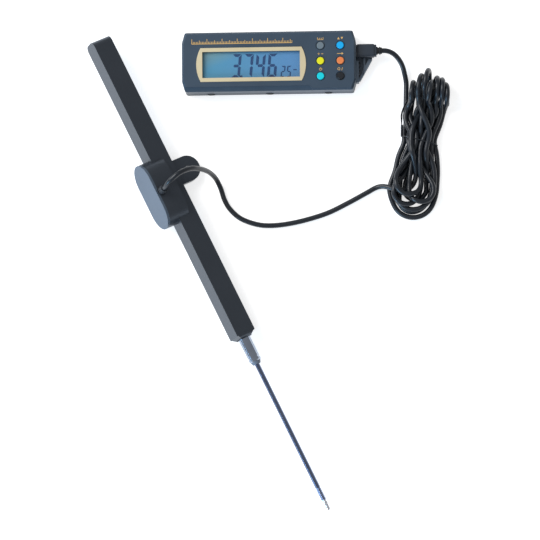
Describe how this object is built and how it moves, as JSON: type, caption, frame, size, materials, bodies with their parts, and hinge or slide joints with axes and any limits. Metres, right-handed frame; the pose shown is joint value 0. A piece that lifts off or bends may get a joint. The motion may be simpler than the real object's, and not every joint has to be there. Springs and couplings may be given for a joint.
{
  "type": "digital linear glass scale gauge with readout",
  "caption": "Long-travel digital length gauge with a glass scale: clamping stem, spindle, lug, coiled cable and a six-key display unit.",
  "frame": {"origin": "centre of the display unit's back face", "axes": "+Z out of the display's face, +X along its long side toward the keys, +Y toward its upper edge; the probe leans beside it on the same plane"},
  "size_m": [0.2347, 0.3087, 0.0436],
  "materials": {
    "dark_plastic": "satin",
    "slate_plastic": "satin",
    "gold_trim": "satin",
    "clear_window": "clear",
    "readout_blue": "satin",
    "board_green": "satin",
    "key_grey": "satin",
    "key_blue": "satin",
    "key_yellow": "satin",
    "key_orange": "satin",
    "key_cyan": "satin",
    "key_black": "satin",
    "steel": "brushed",
    "polished_steel": "polished",
    "black_rubber": "matte",
    "cord_black": "satin",
    "dark_metal": "satin",
    "blue_metal": "satin",
    "bronze": "satin",
    "alloy": "satin",
    "scale_glass": "clear"
  },
  "bodies": {
    "gauge": {"rear_shell": "dark_plastic", "front_shell": "slate_plastic", "trim_ring": "gold_trim", "window": "clear_window", "readout_panel": "readout_blue", "circuit_board": "board_green", "key_switches": "dark_plastic", "coin_cell": "steel", "cell_clip": "steel", "shell_screws": "steel", "edge_pads": "black_rubber", "side_bracket": "dark_metal", "bracket_screws": "steel", "socket": "steel", "plug_tip": "steel", "plug_grip": "dark_plastic", "plug_relief": "black_rubber", "cord_lead": "cord_black", "cord_hank": "cord_black", "cord_tie": "black_rubber", "cord_run": "cord_black", "cable_gland": "black_rubber", "beam_housing": "dark_metal", "lug_cover": "dark_metal", "cover_screws": "steel", "head_shell": "dark_metal", "head_lid": "blue_metal", "head_screws": "steel", "sensor_board": "board_green", "reader": "dark_plastic", "stem": "steel", "stem_bush": "bronze", "wiper_seal": "black_rubber", "bumpers": "black_rubber"},
    "spindle": {"spindle_rod": "polished_steel", "contact_point": "polished_steel", "carriage": "alloy", "glass_scale": "scale_glass"},
    "battery_cap": {"battery_cap": "dark_plastic"},
    "key_mode": {"key_mode": "key_grey"},
    "key_limit": {"key_limit": "key_blue"},
    "key_sign": {"key_sign": "key_yellow"},
    "key_preset": {"key_preset": "key_orange"},
    "key_power": {"key_power": "key_cyan"},
    "key_zero": {"key_zero": "key_black"}
  },
  "joints": [
    {"name": "spindle_slide", "type": "slide", "parent": "gauge", "child": "spindle", "axis": [0.4335, -0.9008, -0.0266], "range_m": [-0.08, 0]},
    {"name": "key_mode_press", "type": "slide", "parent": "gauge", "child": "key_mode", "axis": [0, 0, -1], "range_m": [0, 0.0005], "stiffness_N_per_m": 400},
    {"name": "key_limit_press", "type": "slide", "parent": "gauge", "child": "key_limit", "axis": [0, 0, -1], "range_m": [0, 0.0005], "stiffness_N_per_m": 400},
    {"name": "key_sign_press", "type": "slide", "parent": "gauge", "child": "key_sign", "axis": [0, 0, -1], "range_m": [0, 0.0005], "stiffness_N_per_m": 400},
    {"name": "key_preset_press", "type": "slide", "parent": "gauge", "child": "key_preset", "axis": [0, 0, -1], "range_m": [0, 0.0005], "stiffness_N_per_m": 400},
    {"name": "key_power_press", "type": "slide", "parent": "gauge", "child": "key_power", "axis": [0, 0, -1], "range_m": [0, 0.0005], "stiffness_N_per_m": 400},
    {"name": "key_zero_press", "type": "slide", "parent": "gauge", "child": "key_zero", "axis": [0, 0, -1], "range_m": [0, 0.0005], "stiffness_N_per_m": 400},
    {"name": "battery_cap_turn", "type": "hinge", "parent": "gauge", "child": "battery_cap", "pos_m": [-0.028, -0.002, 0.002], "axis": [0, 0, -1], "range_deg": [0, 40]}
  ]
}
